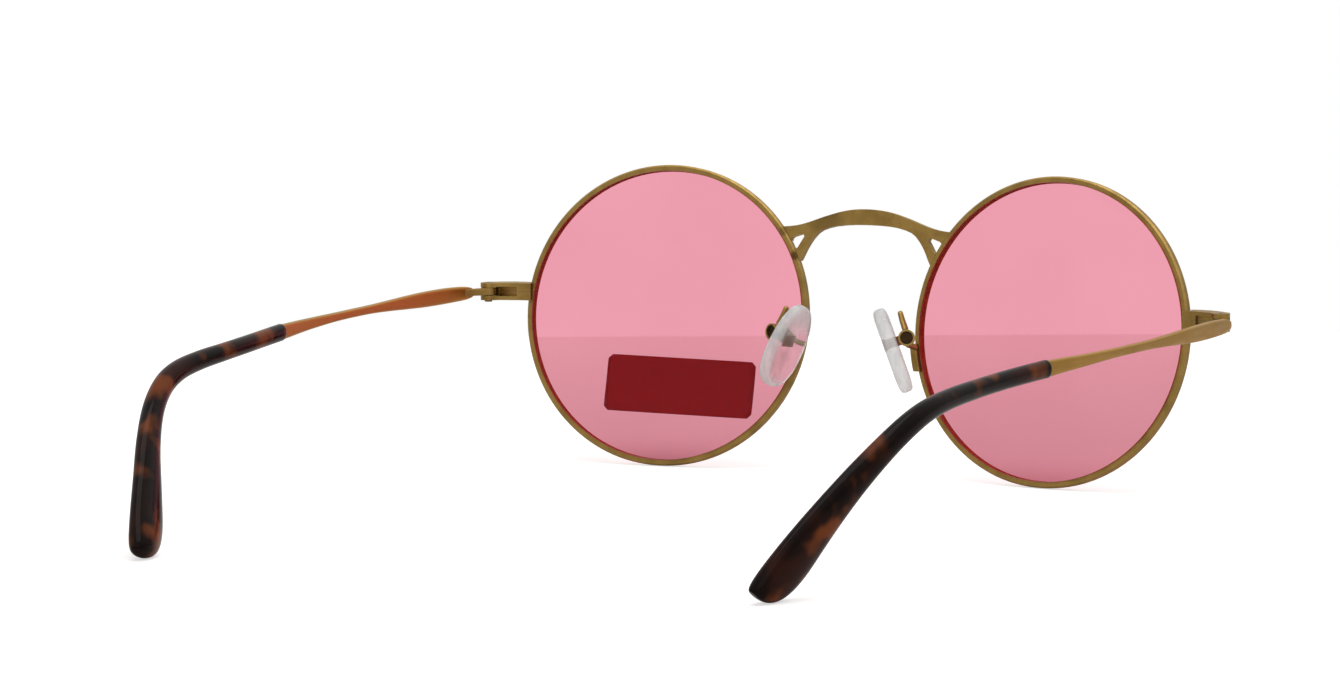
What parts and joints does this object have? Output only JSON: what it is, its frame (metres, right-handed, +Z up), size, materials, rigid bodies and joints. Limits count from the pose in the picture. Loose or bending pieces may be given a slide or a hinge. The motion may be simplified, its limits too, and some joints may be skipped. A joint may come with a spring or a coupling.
{
  "type": "round metal sunglasses",
  "caption": "Round wire-rimmed tinted sunglasses with an arched pierced bridge, adjustable nose pads, folding temples and curved ear tips.",
  "frame": {"origin": "on the table surface that the rims and tips stand on, at the middle of the part's width and depth", "axes": "+Z up, +Y back along the temples towards the ears, front of the lenses towards -Y, wearer's left on +X"},
  "size_m": [0.1432, 0.1488, 0.0515],
  "materials": {
    "gold": "satin antique gold plating",
    "screw": "dark gold plating",
    "lens": "polished pink-tinted polarising plastic",
    "label": "plain dark red paper label",
    "tip": "polished dark tortoise acetate",
    "pad": "clear soft plastic"
  },
  "bodies": {
    "front": {"rim_left": "gold", "rim_right": "gold", "lens_left": "lens", "lens_right": "lens", "lens_label": "label", "bridge": "gold", "end_upper_left": "gold", "end_upper_right": "gold", "end_lower_left": "gold", "end_lower_right": "gold", "rim_screw_left": "screw", "rim_screw_right": "screw", "hinge_screw_left": "screw", "hinge_screw_right": "screw", "pad_foot_left": "gold", "pad_foot_right": "gold", "pad_arm_left": "gold", "pad_arm_right": "gold", "pad_box_left": "gold", "pad_box_right": "gold", "pad_screw_left": "screw", "pad_screw_right": "screw"},
    "left_temple": {"hinge_leaf_left": "gold", "temple_left": "gold", "tip_left": "tip"},
    "right_temple": {"hinge_leaf_right": "gold", "temple_right": "gold", "tip_right": "tip"},
    "left_pad": {"pad_insert_left": "screw", "nose_pad_left": "pad"},
    "right_pad": {"pad_insert_right": "screw", "nose_pad_right": "pad"}
  },
  "joints": [
    {"name": "left_temple_fold", "type": "hinge", "parent": "front", "child": "left_temple", "pos_m": [0.0682, -0.06311, 0.02914], "axis": [0, 0, 1], "range_deg": [0, 84]},
    {"name": "right_temple_fold", "type": "hinge", "parent": "front", "child": "right_temple", "pos_m": [-0.0682, -0.06311, 0.02914], "axis": [0, 0, -1], "range_deg": [0, 74]},
    {"name": "left_pad_rock", "type": "hinge", "parent": "front", "child": "left_pad", "pos_m": [0.01219, -0.06272, 0.02433], "axis": [0.3907, 0.9124, 0.1217], "range_deg": [-8, 8]},
    {"name": "right_pad_rock", "type": "hinge", "parent": "front", "child": "right_pad", "pos_m": [-0.01219, -0.06272, 0.02433], "axis": [-0.3907, 0.9124, 0.1217], "range_deg": [-8, 8]}
  ]
}
